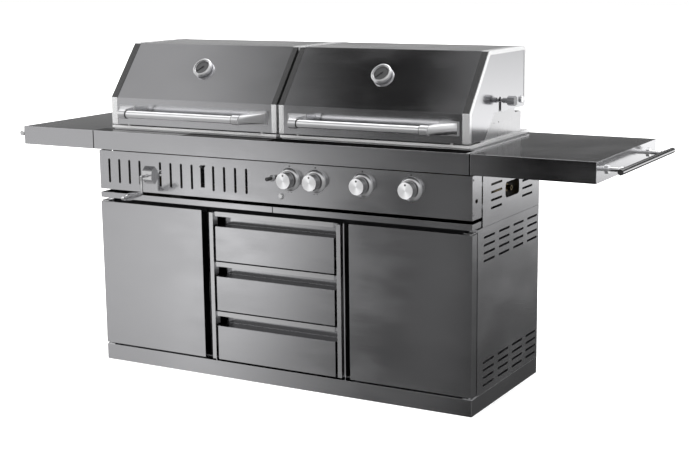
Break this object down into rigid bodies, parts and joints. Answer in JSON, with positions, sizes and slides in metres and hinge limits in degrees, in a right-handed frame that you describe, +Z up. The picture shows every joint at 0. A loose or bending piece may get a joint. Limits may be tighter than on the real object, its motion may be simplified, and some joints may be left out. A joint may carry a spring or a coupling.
{
  "type": "barbecue grill",
  "caption": "Twin-hood stainless barbecue: charcoal and gas bays on a cabinet with doors, drawers and shelves.",
  "frame": {"origin": "middle of the bottom of the whole grill, on the floor", "axes": "+X to the right as the cook faces it, along the longest extent; +Y from the cook towards the back, the shortest extent; +Z up"},
  "size_m": [2.467, 0.762, 1.2165],
  "materials": {
    "brushed_steel_panels": "brushed stainless sheet with fine grain along each panel",
    "bright_steel_trim": "bright stainless trim, finely brushed",
    "polished_steel": "polished stainless tube and castings",
    "zinc_steel": "plain zinc-plated steel",
    "heat_marked_steel": "stainless dulled by heat",
    "grate_iron": "dark seasoned iron",
    "brass_pipe": "machined brass",
    "black_plastic": "black plastic",
    "black_paint": "matt black paint"
  },
  "bodies": {
    "cabinet": {"plinth": "brushed_steel_panels", "levelling_feet": "zinc_steel", "cabinet_base": "brushed_steel_panels", "side_panels": "brushed_steel_panels", "upper_side_panels": "brushed_steel_panels", "back_panel": "brushed_steel_panels", "cabinet_dividers": "brushed_steel_panels", "drawer_frame": "bright_steel_trim", "cabinet_runners": "zinc_steel", "heat_shield": "zinc_steel", "door_hinges": "bright_steel_trim", "worktop": "brushed_steel_panels", "control_panel": "brushed_steel_panels", "knob_bezels": "polished_steel", "crank_housing": "bright_steel_trim", "charcoal_firebox": "heat_marked_steel", "gas_firebox": "heat_marked_steel", "hood_rims": "bright_steel_trim", "back_guards": "bright_steel_trim", "left_shelf": "brushed_steel_panels", "right_shelf": "brushed_steel_panels", "shelf_rails": "polished_steel", "charcoal_side_grate": "grate_iron", "gas_side_grate": "grate_iron", "main_burners": "heat_marked_steel", "flame_tamers": "heat_marked_steel", "rear_burner": "heat_marked_steel", "gas_manifold": "brass_pipe", "panel_screws": "zinc_steel", "hood_hinge_bolts": "polished_steel"},
    "left_hood_body": {"left_hood": "brushed_steel_panels", "left_hood_frames": "bright_steel_trim", "left_handle_tube": "polished_steel", "left_handle_brackets": "polished_steel", "left_thermometer": "polished_steel"},
    "right_hood_body": {"right_hood": "brushed_steel_panels", "right_hood_frames": "bright_steel_trim", "right_handle_tube": "polished_steel", "right_handle_brackets": "polished_steel", "right_thermometer": "polished_steel"},
    "left_needle": {"left_pointer": "black_paint"},
    "right_needle": {"right_pointer": "black_paint"},
    "rotisserie_control": {"rotisserie_knob": "polished_steel"},
    "left_burner_control": {"left_burner_knob": "polished_steel"},
    "middle_burner_control": {"middle_burner_knob": "polished_steel"},
    "right_burner_control": {"right_burner_knob": "polished_steel"},
    "igniter": {"igniter_button": "black_plastic"},
    "light_switch": {"light_button": "polished_steel"},
    "crank": {"crank_arm": "polished_steel"},
    "grip": {"crank_grip": "polished_steel"},
    "charcoal_lift": {"charcoal_tray": "grate_iron"},
    "damper": {"air_damper": "zinc_steel"},
    "spit_rod": {"spit": "polished_steel"},
    "top_drawer": {"drawer_top": "brushed_steel_panels"},
    "middle_drawer": {"drawer_middle": "brushed_steel_panels"},
    "bottom_drawer": {"drawer_bottom": "brushed_steel_panels"},
    "ash_drawer": {"ash_tray": "brushed_steel_panels"},
    "grease_drawer": {"grease_tray": "brushed_steel_panels"},
    "left_door_body": {"left_door": "brushed_steel_panels"},
    "right_door_body": {"right_door": "brushed_steel_panels"}
  },
  "joints": [
    {"name": "left_hood_hinge", "type": "hinge", "parent": "cabinet", "child": "left_hood_body", "pos_m": [-0.416, 0.28, 1.029], "axis": [-1, 0, 0], "range_deg": [0, 85]},
    {"name": "left_needle_turn", "type": "hinge", "parent": "left_hood_body", "child": "left_needle", "pos_m": [-0.416, -0.07308, 1.12876], "axis": [0, 0.7805, -0.6252], "range_deg": [0, 270]},
    {"name": "right_hood_hinge", "type": "hinge", "parent": "cabinet", "child": "right_hood_body", "pos_m": [0.333, 0.28, 1.029], "axis": [-1, 0, 0], "range_deg": [0, 85]},
    {"name": "right_needle_turn", "type": "hinge", "parent": "right_hood_body", "child": "right_needle", "pos_m": [0.333, -0.07308, 1.12876], "axis": [0, 0.7805, -0.6252], "range_deg": [0, 270]},
    {"name": "rotisserie_turn", "type": "hinge", "parent": "cabinet", "child": "rotisserie_control", "pos_m": [0.0325, -0.239, 0.765], "axis": [0, -1, 0], "range_deg": [0, 225]},
    {"name": "left_burner_turn", "type": "hinge", "parent": "cabinet", "child": "left_burner_control", "pos_m": [0.1385, -0.239, 0.765], "axis": [0, -1, 0], "range_deg": [0, 225]},
    {"name": "middle_burner_turn", "type": "hinge", "parent": "cabinet", "child": "middle_burner_control", "pos_m": [0.3245, -0.239, 0.765], "axis": [0, -1, 0], "range_deg": [0, 225]},
    {"name": "right_burner_turn", "type": "hinge", "parent": "cabinet", "child": "right_burner_control", "pos_m": [0.5105, -0.239, 0.765], "axis": [0, -1, 0], "range_deg": [0, 225]},
    {"name": "igniter_press", "type": "slide", "parent": "cabinet", "child": "igniter", "axis": [0, 1, 0], "range_m": [0, 0.006], "stiffness_N_per_m": 300},
    {"name": "light_press", "type": "slide", "parent": "cabinet", "child": "light_switch", "axis": [0, 1, 0], "range_m": [0, 0.003], "stiffness_N_per_m": 300},
    {"name": "tray_lift", "type": "slide", "parent": "cabinet", "child": "charcoal_lift", "axis": [0, 0, 1], "range_m": [0, 0.1]},
    {"name": "crank_turn", "type": "hinge", "parent": "cabinet", "child": "crank", "pos_m": [-0.5797, -0.259, 0.741], "axis": [0, -1, 0], "range_deg": [0, 720]},
    {"name": "grip_spin", "type": "hinge", "parent": "crank", "child": "grip", "pos_m": [-0.5797, -0.319, 0.6775], "axis": [0, 1, 0], "continuous": true},
    {"name": "damper_turn", "type": "hinge", "parent": "cabinet", "child": "damper", "pos_m": [-0.3407, -0.154, 0.756], "axis": [1, 0, 0], "range_deg": [0, 52]},
    {"name": "spit_turn", "type": "hinge", "parent": "cabinet", "child": "spit_rod", "pos_m": [0.333, 0.091, 1.042], "axis": [1, 0, 0], "continuous": true},
    {"name": "top_drawer_slide", "type": "slide", "parent": "cabinet", "child": "top_drawer", "axis": [0, -1, 0], "range_m": [0, 0.42]},
    {"name": "middle_drawer_slide", "type": "slide", "parent": "cabinet", "child": "middle_drawer", "axis": [0, -1, 0], "range_m": [0, 0.42]},
    {"name": "bottom_drawer_slide", "type": "slide", "parent": "cabinet", "child": "bottom_drawer", "axis": [0, -1, 0], "range_m": [0, 0.42]},
    {"name": "ash_drawer_slide", "type": "slide", "parent": "cabinet", "child": "ash_drawer", "axis": [0, -1, 0], "range_m": [0, 0.4]},
    {"name": "grease_drawer_slide", "type": "slide", "parent": "cabinet", "child": "grease_drawer", "axis": [0, -1, 0], "range_m": [0, 0.4]},
    {"name": "left_door_hinge", "type": "hinge", "parent": "cabinet", "child": "left_door_body", "pos_m": [-0.8065, -0.197, 0.346], "axis": [0, 0, -1], "range_deg": [0, 110]},
    {"name": "right_door_hinge", "type": "hinge", "parent": "cabinet", "child": "right_door_body", "pos_m": [0.7235, -0.197, 0.346], "axis": [0, 0, 1], "range_deg": [0, 110]}
  ],
  "couplings": [
    {"joint": "crank_turn", "follows": "tray_lift", "rad_per_m": 125.66}
  ]
}
